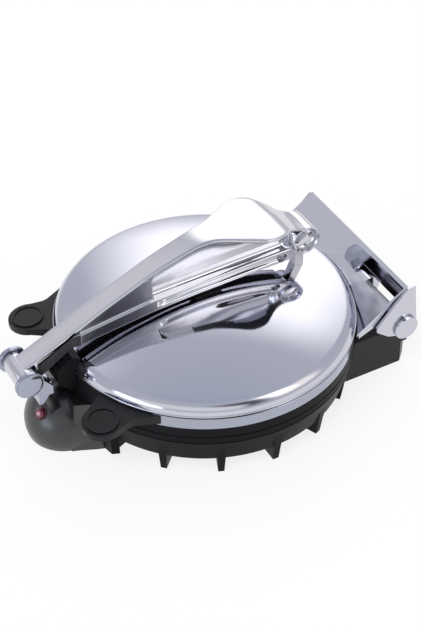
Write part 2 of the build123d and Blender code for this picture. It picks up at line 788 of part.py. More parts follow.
# the crest's band cut to the leaf outline seen from above
with BuildPart() as arm_leaf:
    with BuildSketch(Plane.XY.offset(60)):
        with BuildLine():
            Line((-plan[0][1], plan[0][0]), (plan[0][1], plan[0][0]))
            Spline(*[(w, y) for y, w in plan])
            Line((plan[-1][1], plan[-1][0]), (-plan[-1][1], plan[-1][0]))
            Spline(*[(-w, y) for y, w in reversed(plan)])
        make_face()
    extrude(amount=120)

with BuildPart() as arm_top:
    with BuildSketch(Plane.YZ.offset(-40)):
        with BuildLine():
            Spline(*crest)
            Line(crest[-1], (crest[-1][0], crest[-1][1] - flange_thickness))
            Spline(*[(y, z - flange_thickness) for y, z in reversed(crest)])
            Line((crest[0][0], crest[0][1] - flange_thickness), crest[0])
        make_face()
    extrude(amount=80)
    add(arm_leaf.part, mode=Mode.INTERSECT)
    with BuildSketch(Plane.YZ.offset(-40)):
        with Locations((eye_y, eye_z)):
            Circle(eye_radius)
        with Locations((latch_y, latch_z)):
            Circle(barrel_radius)
    extrude(amount=80, mode=Mode.SUBTRACT)
write(arm_top.part, "arm_top")

under_crest = [(y, z - flange_thickness) for y, z in crest]
with BuildPart() as press_arm:
    # side wall from the barrel to the eye, as wide as the front of the arm
    with BuildSketch(Plane.YZ.offset(-arm_half_width)):
        with BuildLine():
            Spline(*under_crest)
            Polyline(
                under_crest[-1], (88, 106), (76, 101), (-10, 99), (-55, 96.4), (-122, 88.5),
                (-158, 66.5), (-170, 70), under_crest[0],
            )
        make_face()
    extrude(amount=2 * arm_half_width)
    # pockets either side of the web, under the flange
    for side in (1, -1):
        with BuildSketch(Plane.YZ.offset(side * web_half_width)) as pocket:
            with BuildLine():
                Spline(*under_crest)
                Polyline(under_crest[-1], (88, 60), (-166, 60), under_crest[0])
            make_face()
            with BuildLine():
                Polyline((-52, 108.8), (-52, 180), (72, 180), (72, 112.4), close=True)
            make_face(mode=Mode.INTERSECT)
            fillet(pocket.vertices(), 6)
        extrude(amount=side * 12, mode=Mode.SUBTRACT)
    # rail along the underside, a little wider than the arm
    with BuildSketch(Plane.YZ.offset(-rail_half_width)):
        with BuildLine():
            Polyline(
                (-122, 88.5), (-55, 96.4), (-10, 99), (75, 100.8), (84, 106), (78, 112.5),
                (-55, 108.7), (-122, 100.0), close=True,
            )
        make_face()
    extrude(amount=2 * rail_half_width)
    for side in (1, -1):
        with BuildSketch(Plane.YZ.offset(side * (rail_half_width - 2.2))) as groove:
            with BuildLine():
                Polyline(
                    (-48, 100.4), (-8, 102.4), (64, 104.0), (64, 108.4), (-8, 106.6),
                    (-48, 105.0), close=True,
                )
            make_face()
            fillet(groove.vertices().group_by(Axis.X)[-1], 2)
        extrude(amount=side * 4, mode=Mode.SUBTRACT)
    # eye at the back, forked over the post
    with BuildSketch(Plane.YZ.offset(-eye_half_length)):
        with Locations((eye_y, eye_z)):
            Circle(eye_radius)
    extrude(amount=2 * eye_half_length)
    with BuildSketch(Plane.YZ.offset(-eye_gap_half)):
        with Locations((eye_y, eye_z)):
            Circle(eye_radius - 0.8)
        with Locations((eye_y + 10, eye_z - 28.5)):
            Rectangle(48, 64)
    extrude(amount=2 * eye_gap_half, mode=Mode.SUBTRACT)
    with BuildSketch(Plane.YZ.offset(-eye_half_length)):
        with Locations((eye_y, eye_z)):
            Circle(arm_pin_radius)
    extrude(amount=2 * eye_half_length, mode=Mode.SUBTRACT)
    for side in (1, -1):
        with BuildSketch(Plane.YZ.offset(side * (eye_half_length - eye_recess))):
            with Locations((eye_y, eye_z)):
                Circle(eye_radius - 1.8)
        extrude(amount=side * (eye_recess + 1), mode=Mode.SUBTRACT)
        # blind round pocket where the rail's groove ends
        with BuildSketch(Plane.YZ.offset(side * (rail_half_width - 6))):
            with Locations((67, 105.9)):
                Circle(4.2)
        extrude(amount=side * 8, mode=Mode.SUBTRACT)
    # barrel at the front
    with BuildSketch(Plane.YZ.offset(-barrel_half_length)):
        with Locations((latch_y, latch_z)):
            Circle(barrel_radius)
    extrude(amount=2 * barrel_half_length)
    latch_pin_radius = 3.0
    with BuildSketch(Plane.YZ.offset(-barrel_half_length)):
        with Locations((latch_y, latch_z)):
            Circle(latch_pin_radius)
    extrude(amount=2 * barrel_half_length, mode=Mode.SUBTRACT)
write(press_arm.part, "press_arm")

# ---- pin through the eye, with caps sunk in its ends
with BuildPart() as arm_pin:
    with BuildSketch(Plane.YZ.offset(-(eye_half_length - eye_recess))):
        with Locations((eye_y, eye_z)):
            Circle(arm_pin_radius)
    extrude(amount=2 * (eye_half_length - eye_recess))
    for side in (1, -1):
        with BuildSketch(Plane.YZ.offset(side * (eye_half_length - eye_recess))):
            with Locations((eye_y, eye_z)):
                Circle(arm_pin_cap)
        extrude(amount=side * 1.2)
    ends = arm_pin.edges().filter_by(GeomType.CIRCLE).group_by(Axis.X)
    chamfer(ends[0] + ends[-1], 0.4)
write(arm_pin.part, "arm_pin")

# ---- rubber pad under the rail, over the middle of the dome
with BuildPart() as press_pad:
    with BuildSketch(Plane.YZ.offset(-8)):
        with BuildLine():
            Polyline((-12, 95.4), (12, 95.4), (12, 99.4), (-10, 99.0), (-12, 98.88), close=True)
        make_face()
    extrude(amount=16)
write(press_pad.part, "press_pad")

# ---- pin through the front barrel
clip_inner_x, clip_outer_x = 15.4, 18.4
with BuildPart() as latch_pin:
    with BuildSketch(Plane.YZ.offset(-(clip_outer_x + 0.35))):
        with Locations((latch_y, latch_z)):
            Circle(latch_pin_radius)
    extrude(amount=2 * (clip_outer_x + 0.35))
    for side in (1, -1):
        with BuildSketch(Plane.YZ.offset(side * (clip_outer_x + 0.35))):
            with Locations((latch_y, latch_z)):
                Circle(4.6)
        extrude(amount=side * 1.0)
write(latch_pin.part, "latch_pin")

# ---- latch: two discs on the pin, a crossbar, and the leg that drops into the notch
leg_half_width, leg_front_y, leg_rear_y = 11.0, -156.0, -144.5
with BuildPart() as latch_clip:
    with BuildSketch(Plane.YZ.offset(-clip_outer_x)) as clip_side:
        with Locations((latch_y, latch_z)):
            Circle(clip_radius)
        with BuildLine():
            Polyline(
                (latch_y + 2, latch_z - clip_radius + 1), (latch_y + clip_radius, latch_z),
                (leg_rear_y - 1.5, 65.5), (leg_rear_y - 1.5, 57.5), (leg_front_y, 57.5),
                close=True,
            )
        make_face()
    extrude(amount=2 * clip_outer_x)
    with BuildSketch(Plane.YZ.offset(-clip_inner_x)):
        with Locations((latch_y, latch_z)):
            Circle(clip_radius + 0.4)
        with BuildLine():
            Polyline(
                (latch_y, 80), (leg_rear_y + 5, 80), (leg_rear_y + 5, 63.8),
                (leg_front_y, 63.8), (latch_y, 60), close=True,
            )
        make_face()
    extrude(amount=2 * clip_inner_x, mode=Mode.SUBTRACT)
    with BuildSketch(Plane.YZ.offset(-clip_outer_x)):
        with Locations((latch_y, latch_z)):
            Circle(latch_pin_radius + pin_clearance)
    extrude(amount=2 * clip_outer_x, mode=Mode.SUBTRACT)
    with BuildSketch(Plane.YZ.offset(-leg_half_width)) as leg_side:
        with BuildLine():
            Polyline(
                (leg_front_y, 63.8), (leg_rear_y, 63.8), (leg_rear_y, 53), (leg_rear_y - 8, 42.4),
                (leg_front_y, 42.4), close=True,
            )
        make_face()
    extrude(amount=2 * leg_half_width)
write(latch_clip.part, "latch_clip")
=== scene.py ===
import json
from math import cos, pi, radians, sin, sqrt, tan

import bmesh
import bpy
from mathutils import Matrix, Vector


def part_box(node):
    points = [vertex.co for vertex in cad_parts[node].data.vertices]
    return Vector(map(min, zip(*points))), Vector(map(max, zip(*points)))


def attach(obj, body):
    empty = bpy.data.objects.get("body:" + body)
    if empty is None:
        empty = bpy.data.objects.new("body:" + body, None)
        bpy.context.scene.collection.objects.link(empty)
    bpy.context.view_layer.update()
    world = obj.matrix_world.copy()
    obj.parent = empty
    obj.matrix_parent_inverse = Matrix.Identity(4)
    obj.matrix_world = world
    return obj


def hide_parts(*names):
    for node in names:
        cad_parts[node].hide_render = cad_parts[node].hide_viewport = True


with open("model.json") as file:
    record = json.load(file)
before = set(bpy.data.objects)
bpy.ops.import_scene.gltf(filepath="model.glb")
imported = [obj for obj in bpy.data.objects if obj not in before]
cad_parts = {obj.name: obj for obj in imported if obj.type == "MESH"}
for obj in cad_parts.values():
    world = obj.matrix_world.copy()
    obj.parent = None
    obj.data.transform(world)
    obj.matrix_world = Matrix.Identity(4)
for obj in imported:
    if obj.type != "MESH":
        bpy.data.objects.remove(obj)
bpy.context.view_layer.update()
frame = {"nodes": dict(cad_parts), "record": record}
nodes = frame["nodes"]
record = frame["record"]

MM = 0.001  # every size below is in millimetres, as in the CAD source
sharp_edge = radians(40)

# =====================================================================  helpers


def linear(code):
    """Linear RGBA from an sRGB hex value."""
    shades = [int(code[i:i + 2], 16) / 255 for i in (0, 2, 4)]
    bright = [c / 12.92 if c <= 0.04045 else ((c + 0.055) / 1.055) ** 2.4 for c in shades]
    return (*bright, 1.0)


def add(tree, kind, inputs=None, **settings):
    """Add one node with its settings; inputs holds values or other nodes' outputs."""
    node = tree.nodes.new(kind)
    for name, value in settings.items():
        setattr(node, name, value)
    for name, value in (inputs or {}).items():
        if isinstance(value, bpy.types.NodeSocket):
            tree.links.new(value, node.inputs[name])
        else:
            node.inputs[name].default_value = value
    return node


def reckon(tree, operation, *values):
    """The result of one sum in a node tree."""
    return add(tree, "ShaderNodeMath", dict(enumerate(values)), operation=operation).outputs[0]


def new_finish(name):
    """An empty material; gives back the material, its tree and its object coordinates."""
    finish = bpy.data.materials.new(name)
    finish.use_nodes = True
    finish.node_tree.nodes.clear()
    place = add(finish.node_tree, "ShaderNodeTexCoord").outputs["Object"]
    return finish, finish.node_tree, place


def close_finish(tree, shader):
    """Link a finished shader to the material's output."""
    add(tree, "ShaderNodeOutputMaterial", {"Surface": shader.outputs[0]})


# =====================================================================  finishes

# chrome plate on buffed steel sheet: a clean mirror, with faint smears 20 mm across and the
# slow waviness that pressing leaves in the sheet
chrome_sheet, tree, place = new_finish("chrome_plated_sheet")
smears = add(tree, "ShaderNodeTexNoise", {"Vector": place, "Scale": 50.0, "Detail": 4.0})
gloss = add(tree, "ShaderNodeMapRange", {
    "Value": smears.outputs["Fac"], "From Min": 0.35, "From Max": 0.75,
    "To Min": 0.045, "To Max": 0.10,
})
waves = add(tree, "ShaderNodeTexNoise", {"Vector": place, "Scale": 22.0, "Detail": 1.0})
relief = add(tree, "ShaderNodeBump", {
    "Height": waves.outputs["Fac"], "Strength": 0.25, "Distance": 0.0006,
})
close_finish(tree, add(tree, "ShaderNodeBsdfPrincipled", {
    "Base Color": linear("C8C8D2"), "Metallic": 1.0, "Roughness": gloss.outputs["Result"],
    "Normal": relief.outputs["Normal"],
}))

# chrome plate on a polished casting: as bright, its surface a little more uneven
chrome_cast, tree, place = new_finish("chrome_plated_casting")
smears = add(tree, "ShaderNodeTexNoise", {"Vector": place, "Scale": 70.0, "Detail": 4.0})
gloss = add(tree, "ShaderNodeMapRange", {
    "Value": smears.outputs["Fac"], "From Min": 0.35, "From Max": 0.75,
    "To Min": 0.05, "To Max": 0.12,
})
waves = add(tree, "ShaderNodeTexNoise", {"Vector": place, "Scale": 60.0, "Detail": 1.5})
relief = add(tree, "ShaderNodeBump", {
    "Height": waves.outputs["Fac"], "Strength": 0.3, "Distance": 0.0005,
})
close_finish(tree, add(tree, "ShaderNodeBsdfPrincipled", {
    "Base Color": linear("CDCDD3"), "Metallic": 1.0, "Roughness": gloss.outputs["Result"],
    "Normal": relief.outputs["Normal"],
}))

# chrome plate on folded sheet, less buffed: its reflections are softened
chrome_folded, tree, place = new_finish("chrome_plated_bracket")
smears = add(tree, "ShaderNodeTexNoise", {"Vector": place, "Scale": 45.0, "Detail": 5.0})
gloss = add(tree, "ShaderNodeMapRange", {
    "Value": smears.outputs["Fac"], "From Min": 0.35, "From Max": 0.75,
    "To Min": 0.15, "To Max": 0.22,
})
close_finish(tree, add(tree, "ShaderNodeBsdfPrincipled", {
    "Base Color": linear("CACAD4"), "Metallic": 1.0, "Roughness": gloss.outputs["Result"],
}))

# chrome plate with fine roll lines along it, its colour darkened as painted shade
chrome_painted_shade, tree, place = new_finish("chrome_plated_strip_painted_shade")
rolled = add(tree, "ShaderNodeTexNoise", {
    "Vector": add(tree, "ShaderNodeMapping", {
        "Vector": place, "Scale": (60.0, 60.0, 1500.0)}).outputs["Vector"],
    "Scale": 1.0, "Detail": 3.0,
})
gloss = add(tree, "ShaderNodeMapRange", {
    "Value": rolled.outputs["Fac"], "From Min": 0.3, "From Max": 0.7,
    "To Min": 0.10, "To Max": 0.20,
})
close_finish(tree, add(tree, "ShaderNodeBsdfPrincipled", {
    # painted shade: a base colour darker than the other chromes
    "Base Color": linear("A6AAB8"), "Metallic": 1.0, "Roughness": gloss.outputs["Result"],
}))

# phenolic, compression moulded: near black, a soft sheen, 1 mm mould grain and slight bloom;
# one material in copies whose specular levels differ only as painted light and shade
def moulded_phenolic(name, shine, dull, glossy):
    """A phenolic finish: its specular level and the roughness of its dull and glossy spots."""
    finish, tree, place = new_finish(name)
    bloom = add(tree, "ShaderNodeTexNoise", {"Vector": place, "Scale": 35.0, "Detail": 6.0})
    shade = add(tree, "ShaderNodeMix", {
        "Factor": bloom.outputs["Fac"], 6: linear("0E0E10"), 7: linear("1A1A1D"),
    }, data_type="RGBA")
    gloss = add(tree, "ShaderNodeMapRange", {
        "Value": bloom.outputs["Fac"], "From Min": 0.3, "From Max": 0.7,
        "To Min": glossy, "To Max": dull,
    })
    grain = add(tree, "ShaderNodeTexNoise", {"Vector": place, "Scale": 900.0, "Detail": 2.0})
    relief = add(tree, "ShaderNodeBump", {
        "Height": grain.outputs["Fac"], "Strength": 0.25, "Distance": 0.0001,
    })
    close_finish(tree, add(tree, "ShaderNodeBsdfPrincipled", {
        "Base Color": shade.outputs[2], "Roughness": gloss.outputs["Result"], "IOR": 1.5,
        "Specular IOR Level": shine, "Normal": relief.outputs["Normal"],
    }))
    return finish


# three copies of one phenolic: level 0.06 darkens the bowl as painted shade, 0.26 gives the ears
# and the hinge block a painted sheen, 0.85 gives the lamp's bulge a painted highlight
phenolic = moulded_phenolic("moulded_phenolic", 0.06, 0.44, 0.34)
phenolic_painted_sheen = moulded_phenolic("moulded_phenolic_painted_sheen", 0.26, 0.38, 0.28)
phenolic_painted_highlight = moulded_phenolic("moulded_phenolic_painted_highlight", 0.85, 0.34, 0.26)

# dark stamped trim, painted: flatter than the phenolic, with fine paint texture
dark_trim, tree, place = new_finish("painted_trim")
orange = add(tree, "ShaderNodeTexNoise", {"Vector": place, "Scale": 600.0, "Detail": 2.0})
gloss = add(tree, "ShaderNodeMapRange", {
    "Value": orange.outputs["Fac"], "To Min": 0.45, "To Max": 0.6,
})
relief = add(tree, "ShaderNodeBump", {
    "Height": orange.outputs["Fac"], "Strength": 0.2, "Distance": 0.0001,
})
close_finish(tree, add(tree, "ShaderNodeBsdfPrincipled", {
    "Base Color": linear("19191B"), "Roughness": gloss.outputs["Result"],
    "Normal": relief.outputs["Normal"],
}))

# aluminium with a baked non-stick coat: dark grey with paler flecks under 1 mm across
coated, tree, place = new_finish("nonstick_coat")
flecks = add(tree, "ShaderNodeTexVoronoi", {"Vector": place, "Scale": 900.0})
pale = add(tree, "ShaderNodeMapRange", {
    "Value": flecks.outputs["Distance"], "From Min": 0.12, "From Max": 0.3,
    "To Min": 1.0, "To Max": 0.0,
})
shade = add(tree, "ShaderNodeMix", {
    "Factor": pale.outputs["Result"], 6: linear("37373A"), 7: linear("626267"),
}, data_type="RGBA")
cloud = add(tree, "ShaderNodeTexNoise", {"Vector": place, "Scale": 40.0, "Detail": 4.0})
gloss = add(tree, "ShaderNodeMapRange", {
    "Value": cloud.outputs["Fac"], "To Min": 0.36, "To Max": 0.5,
})
close_finish(tree, add(tree, "ShaderNodeBsdfPrincipled", {
    "Base Color": shade.outputs[2], "Roughness": gloss.outputs["Result"],
}))

# spun aluminium, bare: rings left by the tool, drawn 1.5 mm apart so that they show
bare_aluminium, tree, place = new_finish("spun_aluminium")
rings = add(tree, "ShaderNodeTexWave", {
    "Vector": place, "Scale": 105.0, "Distortion": 0.6, "Detail": 2.0,
}, wave_type="RINGS", rings_direction="Z")
gloss = add(tree, "ShaderNodeMapRange", {
    "Value": rings.outputs["Fac"], "To Min": 0.26, "To Max": 0.4,
})
relief = add(tree, "ShaderNodeBump", {
    "Height": rings.outputs["Fac"], "Strength": 0.2, "Distance": 0.0001,
})
close_finish(tree, add(tree, "ShaderNodeBsdfPrincipled", {
    "Base Color": linear("CBCCD0"), "Metallic": 1.0, "Roughness": gloss.outputs["Result"],
    "Normal": relief.outputs["Normal"],
}))

# zinc-plated steel: grey, with the faint spangle and handling marks of plated sheet
zinc_steel, tree, place = new_finish("zinc_plated_steel")
spangle = add(tree, "ShaderNodeTexVoronoi", {"Vector": place, "Scale": 160.0})
tint = add(tree, "ShaderNodeRGBToBW", {"Color": spangle.outputs["Color"]})
shade = add(tree, "ShaderNodeMix", {
    "Factor": tint.outputs["Val"], 6: linear("A2A4A9"), 7: linear("B9BBC0"),
}, data_type="RGBA")
gloss = add(tree, "ShaderNodeMapRange", {
    "Value": tint.outputs["Val"], "To Min": 0.24, "To Max": 0.38,
})
close_finish(tree, add(tree, "ShaderNodeBsdfPrincipled", {
    "Base Color": shade.outputs[2], "Metallic": 1.0, "Roughness": gloss.outputs["Result"],
}))

# tinted acrylic lens: dark red and glossy, with a painted highlight at its tip: a pale emitted
# glow that fades over 4 mm
red_acrylic, tree, place = new_finish("red_acrylic")
depth = add(tree, "ShaderNodeTexNoise", {"Vector": place, "Scale": 300.0, "Detail": 1.0})
shade = add(tree, "ShaderNodeMix", {
    "Factor": depth.outputs["Fac"], 6: linear("2C0812"), 7: linear("4E101F"),
}, data_type="RGBA")
bulge_middle, bulge_radius, lens_height = Vector((0.0, -131.5, 11.0)), 29.0, 7.5
lens_axis = Vector((9.5, -23.9, 20.7)).normalized()
lens_seat = bulge_middle + lens_axis * bulge_radius
lens_tip = (lens_seat + lens_axis * lens_height) * MM
outward = add(tree, "ShaderNodeVectorMath", {0: place, 1: lens_tip}, operation="DISTANCE")
# painted highlight: emission colour pale at the lens's tip, dark red 4 mm away from it
painted_highlight = add(tree, "ShaderNodeValToRGB", {"Fac": add(tree, "ShaderNodeMapRange", {
    "Value": outward.outputs["Value"], "From Min": 0.0004, "From Max": 0.0044,
}).outputs["Result"]})
for number, colour in enumerate(("F2C8D2", "200309")):
    painted_highlight.color_ramp.elements[number].color = linear(colour)
painted_highlight.color_ramp.elements.new(0.45).color = linear("7A2440")
close_finish(tree, add(tree, "ShaderNodeBsdfPrincipled", {
    "Base Color": shade.outputs[2], "Roughness": 0.12, "IOR": 1.49,
    "Transmission Weight": 0.25, "Coat Weight": 0.6, "Coat Roughness": 0.05,
    "Emission Color": painted_highlight.outputs["Color"], "Emission Strength": 0.6,
}))

# neon glow lamp: clear glass with a warm tint
neon_glass, tree, place = new_finish("neon_lamp_glass")
haze = add(tree, "ShaderNodeTexNoise", {"Vector": place, "Scale": 250.0, "Detail": 2.0})
gloss = add(tree, "ShaderNodeMapRange", {
    "Value": haze.outputs["Fac"], "To Min": 0.03, "To Max": 0.12,
})
close_finish(tree, add(tree, "ShaderNodeBsdfPrincipled", {
    "Base Color": linear("F2C9A4"), "Roughness": gloss.outputs["Result"],
    "Transmission Weight": 0.9, "IOR": 1.47,
}))

# stamped brass pins: yellow metal, lightly tarnished
brass, tree, place = new_finish("stamped_brass")
tarnish = add(tree, "ShaderNodeTexNoise", {"Vector": place, "Scale": 220.0, "Detail": 4.0})
shade = add(tree, "ShaderNodeMix", {
    "Factor": tarnish.outputs["Fac"], 6: linear("C4A052"), 7: linear("DDBE74"),
}, data_type="RGBA")
close_finish(tree, add(tree, "ShaderNodeBsdfPrincipled", {
    "Base Color": shade.outputs[2], "Metallic": 1.0, "Roughness": 0.28,
}))

# rubber, moulded: black and dull
rubber, tree, place = new_finish("moulded_rubber")
dust = add(tree, "ShaderNodeTexNoise", {"Vector": place, "Scale": 260.0, "Detail": 5.0})
shade = add(tree, "ShaderNodeMix", {
    "Factor": dust.outputs["Fac"], 6: linear("141414"), 7: linear("262626"),
}, data_type="RGBA")
relief = add(tree, "ShaderNodeBump", {
    "Height": dust.outputs["Fac"], "Strength": 0.3, "Distance": 0.0001,
})
close_finish(tree, add(tree, "ShaderNodeBsdfPrincipled", {
    "Base Color": shade.outputs[2], "Roughness": 0.82, "Normal": relief.outputs["Normal"],
}))

# nylon, injection moulded: the inlet's glossier black
nylon, tree, place = new_finish("moulded_nylon")
grain = add(tree, "ShaderNodeTexNoise", {"Vector": place, "Scale": 500.0, "Detail": 3.0})
gloss = add(tree, "ShaderNodeMapRange", {
    "Value": grain.outputs["Fac"], "To Min": 0.2, "To Max": 0.34,
})
close_finish(tree, add(tree, "ShaderNodeBsdfPrincipled", {
    "Base Color": linear("161617"), "Roughness": gloss.outputs["Result"],
}))

# steatite ceramic: cream white, pressed and fired, finely speckled
ceramic, tree, place = new_finish("pressed_steatite")
speck = add(tree, "ShaderNodeTexNoise", {"Vector": place, "Scale": 700.0, "Detail": 4.0})
shade = add(tree, "ShaderNodeMix", {
    "Factor": speck.outputs["Fac"], 6: linear("D2CBB9"), 7: linear("E6E0D0"),
}, data_type="RGBA")
close_finish(tree, add(tree, "ShaderNodeBsdfPrincipled", {
    "Base Color": shade.outputs[2], "Roughness": 0.55,
}))

# the casting's dull dark grey: unplated metal in its core, and painted shade under the leaf's lip,
# on its front sides and at the front of its pockets
casting_core_and_painted_shade, tree, place = new_finish("as_cast_metal_and_painted_shade")
pitted = add(tree, "ShaderNodeTexNoise", {"Vector": place, "Scale": 500.0, "Detail": 5.0})
shade = add(tree, "ShaderNodeMix", {
    "Factor": pitted.outputs["Fac"], 6: linear("29292C"), 7: linear("4B4B50"),
}, data_type="RGBA")
relief = add(tree, "ShaderNodeBump", {
    "Height": pitted.outputs["Fac"], "Strength": 0.4, "Distance": 0.0002,
})
close_finish(tree, add(tree, "ShaderNodeBsdfPrincipled", {
    "Base Color": shade.outputs[2], "Metallic": 0.5, "Roughness": 0.6,
    "Normal": relief.outputs["Normal"],
}))

finish_of_slot = {
    "black_phenolic": phenolic, "chrome": chrome_sheet, "dark_trim": dark_trim,
    "coated_aluminium": coated, "bare_aluminium": bare_aluminium, "steel": zinc_steel,
    "red_lens": red_acrylic, "lamp_glass": neon_glass, "brass": brass, "rubber": rubber,
    "black_inlet": nylon, "ceramic": ceramic,
}
# the nodes whose finish isn't their slot's
# the band and the latch get the chrome with painted shade; the ears, their caps and the hinge
# block the phenolic with painted sheen; the lamp's bulge the phenolic with painted highlight
finish_of_node = {
    "arm_post": chrome_cast, "latch_pin": chrome_cast, "hinge_hood": chrome_folded,
    "base_band": chrome_painted_shade, "latch_clip": chrome_painted_shade, "base_ears": phenolic_painted_sheen,
    "ear_caps": phenolic_painted_sheen, "hinge_block": phenolic_painted_sheen, "lamp_housing": phenolic_painted_highlight,
}

# =====================================================================  CAD nodes

# smooth faces between sharp edges, on the joined triangles of a CAD node
facing = bpy.data.node_groups.new("smooth_between_edges", "GeometryNodeTree")
facing.interface.new_socket("Geometry", in_out="INPUT", socket_type="NodeSocketGeometry")
limit = facing.interface.new_socket("Sharp angle", in_out="INPUT", socket_type="NodeSocketFloat")
limit.default_value = radians(28)
facing.interface.new_socket("Geometry", in_out="OUTPUT", socket_type="NodeSocketGeometry")
given = add(facing, "NodeGroupInput")
joined = add(facing, "GeometryNodeMergeByDistance", {
    "Geometry": given.outputs["Geometry"], "Distance": 0.000002,
})
rounded = add(facing, "GeometryNodeSetShadeSmooth", {
    "Geometry": joined.outputs["Geometry"], "Shade Smooth": True,
}, domain="FACE")
bend = add(facing, "GeometryNodeInputMeshEdgeAngle")
shallow = add(facing, "FunctionNodeCompare", {
    0: bend.outputs["Unsigned Angle"], 1: given.outputs["Sharp angle"],
}, operation="LESS_THAN", data_type="FLOAT")
creased = add(facing, "GeometryNodeSetShadeSmooth", {
    "Geometry": rounded.outputs["Geometry"], "Shade Smooth": shallow.outputs["Result"],
}, domain="EDGE")
add(facing, "NodeGroupOutput", {"Geometry": creased.outputs["Geometry"]})

# the width of each node's rounded edges
bevel_of_node = {
    "base_housing": 0.5, "base_band": 0.2, "base_ears": 0.7, "hinge_block": 0.9,
    "hinge_hood": 0.3, "hinge_cheek_right": 0.4, "hinge_cheek_left": 0.4, "latch_clip": 0.3,
    "front_block": 0.4, "power_inlet": 0.4, "thermostat": 0.3, "terminal_block": 0.3,
    "block_cover": 0.3, "hinge_pin_right": 0.3, "hinge_pin_left": 0.3,
}
for row in record["subparts"]:
    cad_node = nodes[row["node"]]
    finish = finish_of_node.get(row["node"], finish_of_slot[row["material_slot"]])
    for slot in cad_node.material_slots:
        slot.material = finish
    smoothing = cad_node.modifiers.new("smooth", "NODES")
    smoothing.node_group = facing
    width = bevel_of_node.get(row["node"])
    if width:
        edges = cad_node.modifiers.new("edges", "BEVEL")
        edges.width = width * MM
        edges.segments = 2
        edges.limit_method = "ANGLE"
        edges.angle_limit = radians(35)
        edges.harden_normals = True

# =====================================================================  pieces


def mesh_piece(name, mesh, body, slot, *replaced):
    """Put a finished mesh in the scene as a piece of a body, in place of CAD nodes."""
    piece = bpy.data.objects.new(name, mesh)
    bpy.context.scene.collection.objects.link(piece)
    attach(piece, body)
    if replaced:
        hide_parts(*replaced)


def bake(maker):
    """The plain mesh of an object with its modifiers, the object itself removed."""
    bpy.context.view_layer.update()
    graph = bpy.context.evaluated_depsgraph_get()
    mesh = bpy.data.meshes.new_from_object(maker.evaluated_get(graph))
    bpy.data.objects.remove(maker)
    return mesh


def loft(rows):
    """A mesh of quads through rows of points; each row is a closed loop, ends are capped."""
    work = bmesh.new()
    loops = [[work.verts.new(Vector(p) * MM) for p in row] for row in rows]
    count = len(rows[0])
    for a, b in zip(loops, loops[1:]):
        for i in range(count):
            work.faces.new((a[i], a[(i + 1) % count], b[(i + 1) % count], b[i]))
    work.faces.new(reversed(loops[0]))
    work.faces.new(loops[-1])
    bmesh.ops.remove_doubles(work, verts=work.verts, dist=0.01 * MM)
    bmesh.ops.recalc_face_normals(work, faces=work.faces)
    return work


def shaded(work, name, finishes):
    """A mesh datablock with smooth faces between its sharp edges."""
    mesh = bpy.data.meshes.new(name)
    for face in work.faces:
        face.smooth = True
    for edge in work.edges:
        if len(edge.link_faces) == 2 and edge.calc_face_angle(0.0) > sharp_edge:
            edge.smooth = False
    work.to_mesh(mesh)
    work.free()
    for finish in finishes:
        mesh.materials.append(finish)
    return mesh


def turned(profile, origin, axis, count=96):
    """A profile of (height, radius) turned about an axis; a closed profile gives a ring."""
    stand = Vector(axis).to_track_quat("Z", "Y").to_matrix()
    work = bmesh.new()
    loops = []
    for k in range(count):
        a = 2 * pi * k / count
        loops.append([
            work.verts.new((Vector(origin) + stand @ Vector((r * cos(a), r * sin(a), h))) * MM)
            for h, r in profile
        ])
    for k, row in enumerate(loops):
        after = loops[(k + 1) % count]
        for i in range(len(profile) - 1):
            work.faces.new((row[i], row[i + 1], after[i + 1], after[i]))
    bmesh.ops.remove_doubles(work, verts=work.verts, dist=0.01 * MM)
    bmesh.ops.recalc_face_normals(work, faces=work.faces)
    return work


def spun_about_x(profile, y, z, count=96):
    """A profile of (x, radius) turned about a line along X."""
    return turned(profile, (0.0, y, z), (1.0, 0.0, 0.0), count)


def gathered(name, parts, finishes):
    """One mesh from several, with one list of finishes."""
    work = bmesh.new()
    for part in parts:
        work.from_mesh(part)
    whole = bpy.data.meshes.new(name)
    work.to_mesh(whole)
    work.free()
    for finish in finishes:
        whole.materials.append(finish)
    return whole


def rounded_corner(x, r, size, count=4):
    """Points of a quarter circle at the outer corner of a profile."""
    return [
        (x - size * (1 - cos(pi / 2 * k / count)), r - size * (1 - sin(pi / 2 * k / count)))
        for k in range(count + 1)
    ]


def cut(piece, cutter_work):
    """Take a closed cutter away from a piece; gives back the piece's new mesh."""
    cutter = bpy.data.objects.new("cutter", bpy.data.meshes.new("cutter"))
    cutter_work.to_mesh(cutter.data)
    cutter_work.free()
    bpy.context.scene.collection.objects.link(cutter)
    away = piece.modifiers.new("away", "BOOLEAN")
    away.object = cutter
    away.operation = "DIFFERENCE"
    away.solver = "EXACT"
    mesh = bake(piece)
    bpy.data.objects.remove(cutter)
    return mesh


def block(low, high):
    """A closed box between two corners."""
    work = bmesh.new()
    bmesh.ops.create_cube(work, size=1.0)
    for v in work.verts:
        v.co = Vector((
            (low[i] + high[i]) / 2 + v.co[i] * (high[i] - low[i]) for i in range(3)
        )) * MM
    return work


def loose(name, mesh):
    """An object that only carries a mesh while it is worked on."""
    carrier = bpy.data.objects.new(name, mesh)
    bpy.context.scene.collection.objects.link(carrier)
    return carrier


def between(rows, y):
    """Straight interpolation in rows of (y, value)."""
    if y <= rows[0][0]:
        return rows[0][1]
    for (y0, v0), (y1, v1) in zip(rows, rows[1:]):
        if y <= y1:
            return v0 + (v1 - v0) * (y - y0) / (y1 - y0)
    return rows[-1][1]


